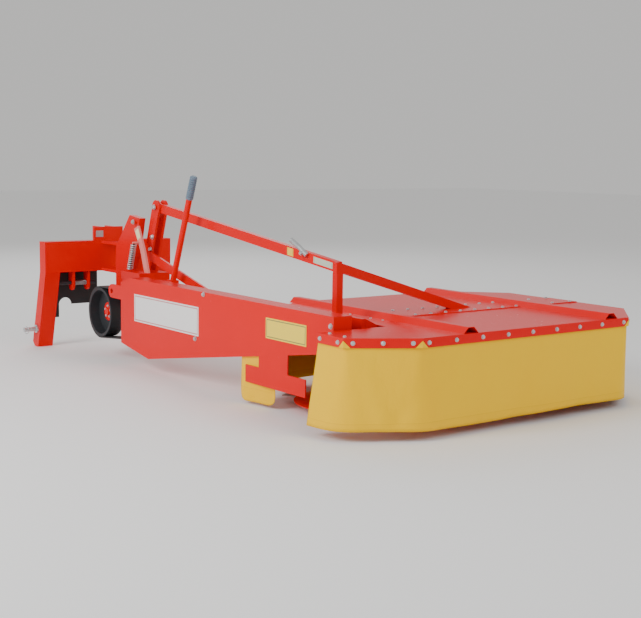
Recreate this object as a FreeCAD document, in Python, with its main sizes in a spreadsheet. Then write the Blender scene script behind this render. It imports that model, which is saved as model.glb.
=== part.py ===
"""Rear-mounted drum mower: hitch, swing head, belt arm and a two-drum cutting unit.

All lengths are millimetres and all angles degrees.  Places are first given from the rear left
corner of the cover, on the floor: x to the right, y forward to the tractor, z up.  set_place()
then moves everything so that the origin is under the middle of the whole machine.
"""
import FreeCAD, Part
import Sketcher
import math
import os
import re

SIZES = {
    # cover over the drums
    "cover_width": 1790,
    "cover_depth": 1260,
    "cover_top": 424,
    "sheet_wall": 3,
    "flange_drop": 40,
    "rear_left_cut_x": 275,
    "rear_left_cut_y": 165,
    "right_cut_x": 255,
    "right_cut_y": 240,
    "front_left_cut_x": 200,
    "front_left_cut_y": 100,
    "notch_width": 370,
    "notch_rear": 345,
    "rib_left_place": 545,
    "rib_right_place": 1420,
    "rib_foot": 84,
    "rib_crest": 34,
    "rib_rise": 26,
    "rib_wall": 3,
    "rib_inset": 6,
    # curtains
    "curtain_wall": 6,
    "curtain_tuck": 4,
    "curtain_slit": 4,
    # gear beam and drums
    "beam_place": 630,
    "beam_width": 150,
    "beam_height": 100,
    "strip_width": 190,
    "strip_wall": 4,
    "drum_spacing": 820,
    "hub_radius": 105,
    "hub_height": 24,
    "drum_radius": 145,
    "drum_bore": 36,
    "drum_gap": 6,
    "disc_radius": 320,
    "drum_wall": 6,
    "drum_mouth": 110,
    "disc_floor_gap": 34,
    "disc_rim": 8,
    "disc_crown": 20,
    "knife_reach": 402,
    "knife_root": 285,
    "knife_width": 42,
    "knife_wall": 4,
    "skid_radius": 205,
    "skid_height": 22,
    "skid_flat": 120,
    "skid_post_radius": 30,
    # belt drive
    "belt_left": 115,
    "pulley_width": 80,
    "drive_radius": 138,
    "drive_place": 2550,
    "drive_height": 258,
    "driven_radius": 62,
    "driven_height": 366,
    "belt_wall": 7,
    "belt_gap": 1,
    "pulley_rim": 16,
    "pulley_web": 14,
    "pulley_hub": 48,
    "shaft_radius": 20,
    # belt guard
    "guard_left": 100,
    "guard_width": 96,
    "guard_wall": 4,
    "guard_rear": 362,
    "guard_front": 2266,
    "guard_rear_top": 480,
    "guard_front_top": 484,
    "guard_nose": 104,
    "guard_nose_drop": 30,
    "guard_rear_bottom": 324,
    "guard_corner_place": 1963,
    "guard_corner_bottom": 75,
    "guard_front_bottom": 124,
    # arm
    "arm_left": 200,
    "arm_width": 100,
    "arm_height": 80,
    "arm_top": 455,
    "arm_rear": 860,
    "arm_front": 2440,
    "rear_plate_wall": 18,
    "rear_plate_end": 402,
    "rear_plate_drop": 170,
    "front_plate_ring": 70,
    "trunnion_radius": 42,
    # side bar under the guard
    "side_bar_wall": 6,
    "side_bar_bottom": 104,
    "side_bar_height": 80,
    "side_bar_rear": 560,
    "side_bar_front": 1032,
    "hanger_rear": 694,
    "hanger_front": 922,
    # tower and brace
    "tower_middle": 360,
    "tower_gap": 34,
    "tower_wall": 12,
    "tower_top": 852,
    "tower_top_place": 2297,
    "tower_foot_place": 2420,
    "tower_width": 78,
    "post_place": 340,
    "post_line": 652,
    "post_top": 652,
    "rear_bar_foot": 1100,
    # hand lever
    "lever_place": 262,
    "lever_radius": 16,
    "lever_foot": 1986,
    "lever_head": 1770,
    "lever_top": 1030,
    "grip_length": 125,
    "grip_radius": 20,
    # hitch
    "hitch_place": 385,
    "link_span": 825,
    "leg_width": 92,
    "leg_depth": 74,
    "leg_lean": 120,
    "leg_corner": 26,
    "leg_heel": 20,
    "hitch_rear": 2960,
    "hitch_depth": 78,
    "hitch_top": 628,
    "hitch_height": 180,
    "hitch_wall": 8,
    "link_pin_radius": 14,
    "link_pin_length": 72,
    "link_pin_height": 108,
    "collar_radius": 24,
    "collar_length": 10,
    "bracket_inside": 66,
    "bracket_wall": 14,
    "bracket_depth": 118,
    "bracket_top": 708,
    "bracket_plate": 190,
    "top_pin_radius": 12.85,
    "top_pin_height": 672,
    # kingpin and swing head
    "kingpin_place": 2752,
    "kingpin_radius": 25,
    "kingpin_fit": 0.05,
    "kingpin_proud": 14,
    "lug_wall": 18,
    "lug_radius": 54,
    "lug_gap": 5,
    "sleeve_radius": 46,
    # PTO input
    "input_radius": 17.4,
    "input_length": 78,
    "input_flange": 46,
    "input_flange_wall": 18,
    # latch under the hitch beam
    "latch_lug_left": 150,
    "latch_lug_pitch": 96,
    "latch_lug_wall": 12,
    "latch_lug_depth": 62,
    "latch_lug_drop": 112,
    "bolt_radius": 11,
    "bolt_left": 74,
    "bolt_length": 228,
    "bolt_drop": 68,
    # pieces on the arm
    "curtain_floor_gap": 42,
    "flap_place": 112,
    "flap_rear": 820,
    "flap_front": 1080,
    "flap_floor_gap": 15,
    "beam_end_gap": 110,
    "cover_line": 400,
    "cover_reach": 64,
    "cover_drop": 110,
    "base_rear": 2245,
    "base_front": 2458,
    "base_width": 190,
    "base_height": 40,
    "diagonal_width": 50,
    "diagonal_wall": 12,
    "diagonal_rear": 1740,
    "diagonal_start": 612,
    "diagonal_front": 2372,
    "strap_left": 260,
    "strap_wall": 12,
    "strap_width": 46,
    "strap_foot": 2275,
    "strap_knee": 2322,
    "strap_knee_height": 616,
    "strap_head": 2391,
    "strap_top": 728,
    "front_plate_wall": 20,
    "front_plate_gap": 6,
    "front_plate_right": 256,
    "trunnion_fit": 0.5,
    "ear_front": 2420,
    "ear_height": 394,
    "ear_width": 74,
    "ear_wall": 12,
    "ear_bore": 14,
    "ear_grip": 90,
    "bar_width": 30,
    "bar_height": 50,
    "front_bar_height": 48,
    "pin_radius": 10,
    "post_side": 34,
    "latch_place": 0.86,
    "latch_length": 128,
    "latch_width": 30,
    "latch_wall": 8,
    "latch_rise": 34,
    "spring_left": 232,
    "spring_head": 2362,
    "spring_head_height": 655,
    "spring_foot": 2415,
    "spring_radius": 18,
    "peg_radius": 6,
    # pieces on the swing head
    "bracket_front_gap": 60,
    "head_depth": 90,
    "head_width": 122,
    "web_width": 60,
    "box_left": 262,
    "box_width": 180,
    "box_depth": 200,
    "box_height": 176,
    "box_edge": 16,
    "mast_left": 288,
    "mast_wall": 36,
    "mast_rear": 2400,
    "mast_front": 2520,
    "mast_heel": 590,
    "mast_heel_set": 50,
    "mast_top": 800,
    "mast_slope": 14,
    "mast_bolt_place": 2440,
    "mast_bolt_height": 765,
    "mast_bolt_reach": 20,
    "input_place": 385,
    "input_gap": 0.5,
    "bell_radius": 88,
    "bell_root": 62,
    "bell_length": 96,
    "bell_wall": 3,
    # shield under the hitch beam
    "shield_left": 72,
    "shield_width": 273,
    "shield_wall": 5,
    "shield_front_gap": 14,
    "shield_drop": 200,
    "shield_foot": 24,
    "shield_foot_drop": 275,
    "arch_radius": 40,
}

DRUM_KNIVES = 3
LEFT_PHASE = 0
RIGHT_PHASE = 180 / DRUM_KNIVES

doc = FreeCAD.newDocument("drum_mower")
sheet = doc.addObject("Spreadsheet::Sheet", "dims")
for row, (alias, value) in enumerate(SIZES.items(), start=1):
    sheet.set("A%d" % row, alias)
    sheet.set("B%d" % row, str(value))
    sheet.setAlias("B%d" % row, alias)
doc.recompute()

# Places that several pieces share, as expressions of the sizes.
HITCH_LEFT = "(hitch_place - link_span / 2)"
HITCH_RIGHT = "(hitch_place + link_span / 2)"
HITCH_BOTTOM = "(hitch_top - hitch_height)"
HITCH_FRONT = "(hitch_rear + hitch_depth)"
LEG_FRONT = "(hitch_rear + leg_lean + leg_depth)"
BEAM_TOP = "(cover_top - sheet_wall)"
BEAM_BOTTOM = "(cover_top - sheet_wall - beam_height)"
HUB_BOTTOM = "(cover_top - sheet_wall - beam_height - hub_height)"
BEAM_LEFT = "(arm_left + arm_width)"
DRUM_LEFT = "(cover_width / 2 - drum_spacing / 2)"
DRUM_RIGHT = "(cover_width / 2 + drum_spacing / 2)"
HEAD_FRONT = "(kingpin_place - bracket_front_gap)"
ARM_BOTTOM = "(arm_top - arm_height)"
CURTAIN_TOP = "(cover_top - sheet_wall)"
MIDDLE_X = "((cover_width + hitch_place - link_span / 2 - collar_length - link_pin_length) / 2)"
MIDDLE_Y = "((hitch_rear + leg_lean + leg_depth) / 2)"

WORD = re.compile(r"[a-z_][a-z_0-9]*")
pieces = {}


def bound(text):
    """Turn an expression of sizes into one that reads the sheet."""
    def name_of(match):
        word = match.group(0)
        return "dims." + word if word in SIZES else word
    return WORD.sub(name_of, str(text))


def number(text):
    """Value of an expression of sizes, for the shapes that are built from points."""
    def value_of(match):
        word = match.group(0)
        return str(sheet.get(word)) if word in SIZES else word
    return calculate(WORD.sub(value_of, str(text)))


def calculate(text):
    """Work out + - * / and brackets with FreeCAD's own units parser."""
    return FreeCAD.Units.Quantity("(%s) * 1" % text).Value


def tie(item, **settings):
    """Bind properties of an object to expressions of the sheet."""
    for name, text in settings.items():
        item.setExpression(name, bound(text))


def set_place(item, x=0, y=0, z=0, axis=None, angle=0):
    """Put an object at a place in the machine, turned about an axis first."""
    if axis:
        item.Placement.Rotation = FreeCAD.Rotation(FreeCAD.Vector(*axis), angle)
    item.setExpression("Placement.Base.x", bound("%s - %s" % (x, MIDDLE_X)))
    item.setExpression("Placement.Base.y", bound("%s - %s" % (y, MIDDLE_Y)))
    item.setExpression("Placement.Base.z", bound(z))


def keep(name, item):
    """Record a finished sub-part under its own name."""
    item.Label = name
    pieces[name] = item
    return item


def box(name, x, y, z, along_x, along_y, along_z):
    item = doc.addObject("Part::Box", name)
    tie(item, Length=along_x, Width=along_y, Height=along_z)
    set_place(item, x, y, z)
    return item


def round_bar(name, x, y, z, radius, length, direction="z"):
    """A cylinder that starts at a place and runs along +x, +y or +z."""
    turns = {"x": ((0, 1, 0), 90), "y": ((1, 0, 0), -90), "z": (None, 0)}
    item = doc.addObject("Part::Cylinder", name)
    tie(item, Radius=radius, Height=length)
    axis, angle = turns[direction]
    set_place(item, x, y, z, axis, angle)
    return item


def fuse(name, *items):
    item = doc.addObject("Part::MultiFuse", name)
    item.Shapes = list(items)
    item.Refine = True
    return item


def cut(name, base, tool):
    item = doc.addObject("Part::Cut", name)
    item.Base = base
    item.Tool = tool
    item.Refine = True
    return item


def new_body(name, x=0, y=0, z=0):
    body = doc.addObject("PartDesign::Body", name)
    set_place(body, x, y, z)
    return body


def origin_plane(body, role):
    return next(f for f in body.Origin.OriginFeatures if f.Role == role)


def closed_outline(body, name, role, points):
    """A sketch of straight runs through points whose coordinates are bound to the sheet."""
    sketch = body.newObject("Sketcher::SketchObject", name)
    sketch.AttachmentSupport = (origin_plane(body, role), [""])
    sketch.MapMode = "FlatFace"
    start = [FreeCAD.Vector(number(a), number(b), 0) for a, b in points]
    count = len(points)
    for i in range(count):
        sketch.addGeometry(Part.LineSegment(start[i], start[(i + 1) % count]), False)
    for i in range(count):
        join = Sketcher.Constraint("Coincident", i, 2, (i + 1) % count, 1)
        sketch.addConstraint(join)
    for i, (a, b) in enumerate(points):
        for kind, text, value in (("DistanceX", a, start[i].x), ("DistanceY", b, start[i].y)):
            index = sketch.addConstraint(Sketcher.Constraint(kind, -1, 1, i, 1, value))
            sketch.setExpression("Constraints[%d]" % index, bound(text))
    return sketch


def circle_sketch(body, name, role, a, b, radius):
    sketch = body.newObject("Sketcher::SketchObject", name)
    sketch.AttachmentSupport = (origin_plane(body, role), [""])
    sketch.MapMode = "FlatFace"
    middle = FreeCAD.Vector(number(a), number(b), 0)
    sketch.addGeometry(Part.Circle(middle, FreeCAD.Vector(0, 0, 1), number(radius)), False)
    for kind, text, value in (("DistanceX", a, middle.x), ("DistanceY", b, middle.y)):
        index = sketch.addConstraint(Sketcher.Constraint(kind, -1, 1, 0, 3, value))
        sketch.setExpression("Constraints[%d]" % index, bound(text))
    index = sketch.addConstraint(Sketcher.Constraint("Radius", 0, number(radius)))
    sketch.setExpression("Constraints[%d]" % index, bound(radius))
    return sketch


def pad(body, sketch, length, name="pad", backwards=False):
    item = body.newObject("PartDesign::Pad", name)
    item.Profile = sketch
    tie(item, Length=length)
    item.Reversed = backwards
    return item


def pocket(body, sketch, length, name="pocket", backwards=False):
    item = body.newObject("PartDesign::Pocket", name)
    item.Profile = sketch
    tie(item, Length=length)
    item.Reversed = backwards
    return item


def plate_across_x(name, x, wall, points, holes=()):
    """A plate of the given wall whose (y, z) outline faces sideways, with round holes."""
    body = new_body(name, x)
    pad(body, closed_outline(body, "outline", "YZ_Plane", points), wall)
    for y, z, radius in holes:
        pocket(body, circle_sketch(body, "hole_outline", "YZ_Plane", y, z, radius), wall,
               "hole", backwards=True)
    return body


def plate_flat(name, z, wall, points):
    """A plate of the given wall whose (x, y) outline lies level, with its underside at z."""
    body = new_body(name, z=z)
    pad(body, closed_outline(body, "outline", "XY_Plane", points), wall)
    return body


def turned(name, points, x, y, z, axis=None, angle=0):
    """A turned piece: a (radius, height) outline revolved about the body's own Z axis."""
    body = doc.addObject("PartDesign::Body", name)
    set_place(body, x, y, z, axis, angle)
    sketch = closed_outline(body, "outline", "XZ_Plane", points)
    item = body.newObject("PartDesign::Revolution", "turn")
    item.Profile = sketch
    item.ReferenceAxis = (sketch, ["V_Axis"])
    item.Angle = 360
    return body


def solid_piece(name, shape):
    """A piece whose shape is worked out from the sheet's values, in machine coordinates."""
    item = doc.addObject("Part::Feature", name)
    item.Shape = shape
    item.Placement.Base = FreeCAD.Vector(-number(MIDDLE_X), -number(MIDDLE_Y), 0)
    return item


# ---- hitch: the fixed frame that hangs on the tractor's three links ----

def hitch_beam():
    left = HITCH_LEFT + " + leg_width"
    length = "link_span - 2 * leg_width"
    outside = box("beam_outside", left, "hitch_rear", HITCH_BOTTOM, length, "hitch_depth", "hitch_height")
    hollow = box("beam_hollow", left, "hitch_rear + hitch_wall", HITCH_BOTTOM + " + hitch_wall",
                 length, "hitch_depth - 2 * hitch_wall", "hitch_height - 2 * hitch_wall")
    keep("hitch_beam", cut("hitch_tube", outside, hollow))


def hitch_leg(name, left):
    """A channel, open to the front, that leans forward below the beam."""
    body = new_body(name, left)
    outer = [("hitch_rear", "hitch_top"), ("hitch_rear", HITCH_BOTTOM),
             ("hitch_rear + leg_lean", "0"), (LEG_FRONT + " - leg_corner", "0"),
             (LEG_FRONT, "leg_corner"), (HITCH_FRONT, HITCH_BOTTOM), (HITCH_FRONT, "hitch_top")]
    pad(body, closed_outline(body, "outline", "YZ_Plane", outer), "leg_width")
    inner = [("hitch_rear + hitch_wall", HITCH_BOTTOM),
             ("hitch_rear + leg_lean + hitch_wall", "leg_heel"),
             (LEG_FRONT + " + leg_heel", "leg_heel"), (LEG_FRONT + " + leg_heel", HITCH_BOTTOM)]
    sketch = closed_outline(body, "channel", "YZ_Plane", inner)
    sketch.setExpression("AttachmentOffset.Base.z", bound("hitch_wall"))
    pocket(body, sketch, "leg_width - 2 * hitch_wall", backwards=True)
    return body


def lower_link_pin(name, collar_start, pin_start):
    y = "hitch_rear + leg_lean * (1 - link_pin_height / (hitch_top - hitch_height)) + leg_depth / 2"
    collar = round_bar(name + "_collar", collar_start, y, "link_pin_height", "collar_radius",
                       "collar_length", "x")
    pin = round_bar(name + "_bar", pin_start, y, "link_pin_height", "link_pin_radius",
                    "link_pin_length", "x")
    return fuse(name + "_whole", collar, pin)


def top_link_bracket():
    rear = "hitch_rear + hitch_wall * 2"
    height = "bracket_top - hitch_top"
    middle = "hitch_place"
    back = box("bracket_back", middle + " - bracket_plate / 2", rear, "hitch_top", "bracket_plate",
               "bracket_wall", height)
    ears = []
    for side, left in (("left", " - bracket_inside / 2 - bracket_wall"), ("right", " + bracket_inside / 2")):
        ears.append(box("bracket_ear_" + side, middle + left, rear, "hitch_top", "bracket_wall",
                        "bracket_depth", height))
    whole = fuse("bracket_blank", back, *ears)
    bore = round_bar("bracket_bore", middle + " - bracket_plate / 2", rear + " + bracket_depth - 32",
                     "top_pin_height", "top_pin_radius", "bracket_plate", "x")
    keep("top_link_bracket", cut("bracket_bored", whole, bore))


def kingpin():
    plates = []
    for name, z in (("low", HITCH_BOTTOM), ("high", "hitch_top - lug_wall")):
        arm = box("lug_arm_" + name, "hitch_place - lug_radius", "kingpin_place", z, "2 * lug_radius",
                  "hitch_rear - kingpin_place", "lug_wall")
        ring = round_bar("lug_ring_" + name, "hitch_place", "kingpin_place", z, "lug_radius", "lug_wall")
        plates.append(fuse("lug_" + name, arm, ring))
    both = fuse("lugs_blank", *plates)
    bore = round_bar("lugs_bore", "hitch_place", "kingpin_place", "0", "kingpin_radius", "hitch_top + 1")
    keep("kingpin_lugs", cut("lugs_bored", both, bore))
    pin = round_bar("kingpin_bar", "hitch_place", "kingpin_place", HITCH_BOTTOM + " - kingpin_proud",
                    "kingpin_radius", "hitch_height + 2 * kingpin_proud")
    head = round_bar("kingpin_head", "hitch_place", "kingpin_place", "hitch_top", "kingpin_radius + 9",
                     "kingpin_proud")
    keep("kingpin", fuse("kingpin_whole", pin, head))


def latch():
    """Two lugs under the beam carry the bolt that holds the arm straight back."""
    y = "hitch_rear + 8"
    lugs = []
    for i in range(2):
        x = "latch_lug_left + %d * latch_lug_pitch" % i
        drop = "latch_lug_drop - latch_lug_depth / 2"
        plate = box("latch_plate_%d" % i, x, y, HITCH_BOTTOM + " - (%s)" % drop, "latch_lug_wall",
                    "latch_lug_depth", drop)
        foot = round_bar("latch_foot_%d" % i, x, y + " + latch_lug_depth / 2",
                         HITCH_BOTTOM + " - (%s)" % drop, "latch_lug_depth / 2", "latch_lug_wall", "x")
        lugs.append(fuse("latch_lug_%d" % i, plate, foot))
    bolt_y = y + " + latch_lug_depth / 2"
    bore = round_bar("latch_bore", "bolt_left", bolt_y, HITCH_BOTTOM + " - bolt_drop",
                     "bolt_radius + 0.05", "bolt_length", "x")
    keep("latch_lugs", cut("latch_bored", fuse("latch_blank", *lugs), bore))
    keep("latch_bolt", round_bar("latch_bar", "bolt_left", bolt_y, HITCH_BOTTOM + " - bolt_drop",
                                 "bolt_radius", "bolt_length", "x"))


def shield():
    y = HITCH_FRONT + " + shield_front_gap"
    plate = box("shield_plate", "shield_left", y, HITCH_BOTTOM + " - shield_drop", "shield_width",
                "shield_wall", "shield_drop + hitch_height / 3")
    foot = box("shield_leg", "shield_left", y, HITCH_BOTTOM + " - shield_foot_drop", "shield_foot",
               "shield_wall", "shield_foot_drop")
    arch = round_bar("shield_arch", "shield_left + shield_foot + arch_radius", y,
                     HITCH_BOTTOM + " - shield_drop", "arch_radius", "shield_wall", "y")
    spacer = box("shield_spacer", "shield_left + shield_width / 3", HITCH_FRONT, HITCH_BOTTOM + " + 10",
                 "shield_width / 2", "shield_front_gap", "30")
    keep("input_shield", fuse("shield_whole", cut("shield_cut", fuse("shield_blank", plate, foot), arch),
                              spacer))


# ---- swing head: turns on the kingpin and carries the input gearbox ----

GAP_TOP = "(hitch_top - lug_wall - lug_gap)"
GAP_BOTTOM = "(hitch_top - hitch_height + lug_wall + lug_gap)"
BOX_TOP = "(drive_height + box_height / 2)"
BOX_FRONT = "(drive_place + box_depth / 2)"


def swing_head():
    height = GAP_TOP + " - " + GAP_BOTTOM
    ring = round_bar("sleeve_ring", "hitch_place", "kingpin_place", GAP_BOTTOM, "sleeve_radius", height)
    web = box("sleeve_web", "hitch_place - web_width / 2", HEAD_FRONT, GAP_BOTTOM, "web_width",
              "bracket_front_gap", height)
    bore = round_bar("sleeve_bore", "hitch_place", "kingpin_place", GAP_BOTTOM,
                     "kingpin_radius + kingpin_fit", height)
    keep("head_sleeve", cut("sleeve_bored", fuse("sleeve_blank", ring, web), bore))
    keep("head_column", box("column_block", "hitch_place - head_width / 2", HEAD_FRONT + " - head_depth",
                            BOX_TOP, "head_width", "head_depth", GAP_TOP + " - " + BOX_TOP))
    column_rear = HEAD_FRONT + " - head_depth"
    mast = plate_across_x("mast_plate", "mast_left", "mast_wall", [
        (column_rear, BOX_TOP), (column_rear + " + head_depth", BOX_TOP),
        (column_rear + " + head_depth", GAP_TOP), ("mast_front", "mast_top"),
        ("mast_rear", "mast_top - mast_slope"), ("mast_rear + mast_heel_set", "mast_heel")])
    stud = round_bar("mast_stud", "mast_left - mast_bolt_reach", "mast_bolt_place", "mast_bolt_height",
                     "pin_radius", "mast_bolt_reach", "x")
    keep("head_mast", fuse("mast_whole", mast, stud))


def gearbox():
    case = box("case_block", "box_left", "drive_place - box_depth / 2", "drive_height - box_height / 2",
               "box_width", "box_depth", "box_height")
    doc.recompute()
    rounded = doc.addObject("Part::Fillet", "case_rounded")
    rounded.Base = case
    edge = number("box_edge")
    rounded.Edges = [(i + 1, edge, edge) for i in range(len(case.Shape.Edges))]
    trunnion_left = "front_plate_right - front_plate_wall - front_plate_gap + 1"
    trunnion = round_bar("trunnion", trunnion_left, "drive_place", "drive_height", "trunnion_radius",
                         "box_left + box_edge - (%s)" % trunnion_left, "x")
    keep("front_gearbox", fuse("gearbox_whole", rounded, trunnion))
    keep("input_bell", turned("input_bell", [
        ("bell_root", "0"), ("bell_radius", "bell_length"), ("bell_radius - bell_wall", "bell_length"),
        ("bell_root - bell_wall", "bell_wall"), ("input_flange + 4", "bell_wall"),
        ("input_flange + 4", "0")], "input_place", BOX_FRONT, "drive_height", (1, 0, 0), -90))
    flange = round_bar("input_flange_disc", "input_place", BOX_FRONT + " + input_gap", "drive_height",
                       "input_flange", "input_flange_wall", "y")
    shaft = round_bar("input_shaft_bar", "input_place", BOX_FRONT + " + input_gap", "drive_height",
                      "input_radius", "input_flange_wall + input_length", "y")
    keep("input_shaft", fuse("input_whole", flange, shaft))


# ---- belt drive ----

def pulley(name, y, z, radius, shaft_end):
    """A belt pulley turned about x: dished on its left, with its shaft to the right."""
    rim = radius + " - pulley_rim"
    keep(name, turned(name, [
        ("0", "pulley_width - pulley_web - 12"), ("pulley_hub / 2", "pulley_width - pulley_web - 12"),
        ("pulley_hub / 2 + 4", "pulley_width - pulley_web"), (rim + " - 6", "pulley_width - 2 * pulley_web"),
        (rim, "0"), (radius, "0"), (radius, "pulley_width"), ("shaft_radius", "pulley_width"),
        ("shaft_radius", shaft_end + " - belt_left"), ("0", shaft_end + " - belt_left")],
        "belt_left", y, z, (0, 1, 0), 90))


def loop_face(y1, z1, r1, y2, z2, r2, x):
    """A flat face bounded by two circles' outer tangents, at a given x."""
    span = math.hypot(y2 - y1, z2 - z1)
    along = math.atan2(z2 - z1, y2 - y1)
    lean = math.acos((r1 - r2) / span)

    def on(y, z, r, angle):
        return FreeCAD.Vector(x, y + r * math.cos(angle), z + r * math.sin(angle))
    upper, lower = along + lean, along - lean
    edges = [
        Part.LineSegment(on(y1, z1, r1, upper), on(y2, z2, r2, upper)).toShape(),
        Part.Arc(on(y2, z2, r2, upper), on(y2, z2, r2, along), on(y2, z2, r2, lower)).toShape(),
        Part.LineSegment(on(y2, z2, r2, lower), on(y1, z1, r1, lower)).toShape(),
        Part.Arc(on(y1, z1, r1, lower), on(y1, z1, r1, along + math.pi), on(y1, z1, r1, upper)).toShape(),
    ]
    return Part.Face(Part.Wire(edges))


def belts():
    y1, z1, r1 = number("beam_place"), number("driven_height"), number("driven_radius + belt_gap")
    y2, z2, r2 = number("drive_place"), number("drive_height"), number("drive_radius + belt_gap")
    wall = number("belt_wall")
    left = number("belt_left + 2")
    width = number("pulley_width - 4")
    outer = loop_face(y1, z1, r1 + wall, y2, z2, r2 + wall, left)
    inner = loop_face(y1, z1, r1, y2, z2, r2, left)
    band = outer.cut(inner).extrude(FreeCAD.Vector(width, 0, 0))
    keep("drive_belts", solid_piece("drive_belts", band))


# ---- arm and belt guard ----

GUARD_RISE = "((guard_rear_bottom - guard_corner_bottom) / (guard_corner_place - guard_rear))"


def guard_bottom(y):
    """Height of the guard's lower edge behind its corner."""
    return "(guard_rear_bottom - %s * (%s - guard_rear))" % (GUARD_RISE, y)


def belt_guard():
    body = new_body("belt_guard", "guard_left")
    outer = [("guard_rear", "guard_rear_top"), ("guard_rear", "guard_rear_bottom"),
             ("guard_corner_place", "guard_corner_bottom"), ("guard_front", "guard_front_bottom"),
             ("guard_front", "guard_front_top - guard_nose_drop"),
             ("guard_front - guard_nose", "guard_front_top")]
    pad(body, closed_outline(body, "outline", "YZ_Plane", outer), "guard_width")
    inner = [("guard_rear + guard_wall", "guard_rear_top - guard_wall"),
             ("guard_rear + guard_wall", "guard_rear_bottom + guard_wall"),
             ("guard_corner_place", "guard_corner_bottom + guard_wall"),
             ("guard_front", "guard_front_bottom + guard_wall"),
             ("guard_front + guard_wall", "guard_front_bottom + guard_wall"),
             ("guard_front + guard_wall", "guard_front_top - guard_nose_drop - guard_wall"),
             ("guard_front", "guard_front_top - guard_nose_drop - guard_wall"),
             ("guard_front - guard_nose", "guard_front_top - guard_wall")]
    sketch = closed_outline(body, "hollow", "YZ_Plane", inner)
    sketch.setExpression("AttachmentOffset.Base.z", bound("guard_wall"))
    pocket(body, sketch, "guard_width", backwards=True)
    keep("belt_guard", body)

    back_rear = "beam_place + driven_radius + belt_wall + 22"
    back = [(back_rear, "guard_rear_top - guard_wall"), (back_rear, guard_bottom(back_rear)),
            ("guard_corner_place", "guard_corner_bottom"), ("guard_front", "guard_front_bottom"),
            ("guard_front", "guard_front_top - guard_nose_drop - guard_wall"),
            ("guard_front - guard_nose", "guard_front_top - guard_wall")]
    keep("guard_back", plate_across_x("guard_back", "guard_left + guard_width",
                                      "arm_left - guard_left - guard_width", back))

    ear = box("ear_plate", "guard_left + guard_wall", "guard_front - ear_grip", "ear_height - ear_width / 2",
              "ear_wall", "ear_front - ear_width / 2 - guard_front + ear_grip", "ear_width")
    tip = round_bar("ear_tip", "guard_left + guard_wall", "ear_front - ear_width / 2", "ear_height",
                    "ear_width / 2", "ear_wall", "x")
    bore = round_bar("ear_bore", "guard_left", "ear_front - ear_width / 2", "ear_height", "ear_bore",
                     "ear_wall + guard_wall + 2", "x")
    keep("guard_ear", cut("ear_bored", fuse("ear_blank", ear, tip), bore))


def arm():
    outside = box("arm_outside", "arm_left", "arm_rear", ARM_BOTTOM, "arm_width", "arm_front - arm_rear",
                  "arm_height")
    hollow = box("arm_hollow", "arm_left + 6", "arm_rear", ARM_BOTTOM + " + 6", "arm_width - 12",
                 "arm_front - arm_rear", "arm_height - 12")
    keep("arm_beam", cut("arm_tube", outside, hollow))

    rear = [("rear_plate_end", "arm_top"), ("rear_plate_end", "arm_top - rear_plate_drop"),
            ("beam_place + beam_width / 2", "arm_top - rear_plate_drop"),
            ("arm_rear", ARM_BOTTOM), ("arm_rear", "arm_top")]
    holes = [("beam_place", "driven_height", "shaft_radius + trunnion_fit")]
    keep("arm_rear_plate", plate_across_x("arm_rear_plate", "arm_left + arm_width - rear_plate_wall",
                                          "rear_plate_wall", rear, holes))

    left = "front_plate_right - front_plate_wall"
    web = plate_across_x("front_web", left, "front_plate_wall", [
        ("arm_front", ARM_BOTTOM), ("drive_place - front_plate_ring * 0.75", "drive_height - front_plate_ring * 0.6"),
        ("drive_place + front_plate_ring * 0.5", "drive_height + front_plate_ring * 0.8"),
        ("arm_front", "arm_top")])
    ring = round_bar("front_ring", left, "drive_place", "drive_height", "front_plate_ring",
                     "front_plate_wall", "x")
    bore = round_bar("front_bore", left, "drive_place", "drive_height", "trunnion_radius + trunnion_fit",
                     "front_plate_wall", "x")
    keep("arm_front_plate", cut("front_bored", fuse("front_blank", web, ring), bore))


def side_bar():
    bottom = "side_bar_bottom"
    top = "side_bar_bottom + side_bar_height"
    outline = [("side_bar_rear", bottom), ("side_bar_front", bottom), ("side_bar_front", top),
               ("hanger_front", top), ("hanger_front", guard_bottom("hanger_front")),
               ("hanger_rear", guard_bottom("hanger_rear")), ("hanger_rear", top), ("side_bar_rear", top)]
    keep("side_bar", plate_across_x("side_bar", "guard_left + 2", "side_bar_wall", outline))


def slanted(name, x, width, y1, z1, y2, z2, height):
    """A flat bar of upright depth `height` between two points of its lower edge."""
    return plate_across_x(name, x, width, [(y1, z1), (y2, z2), (y2, "%s + %s" % (z2, height)),
                                           (y1, "%s + %s" % (z1, height))])


BASE_TOP = "(arm_top + base_height)"


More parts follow.
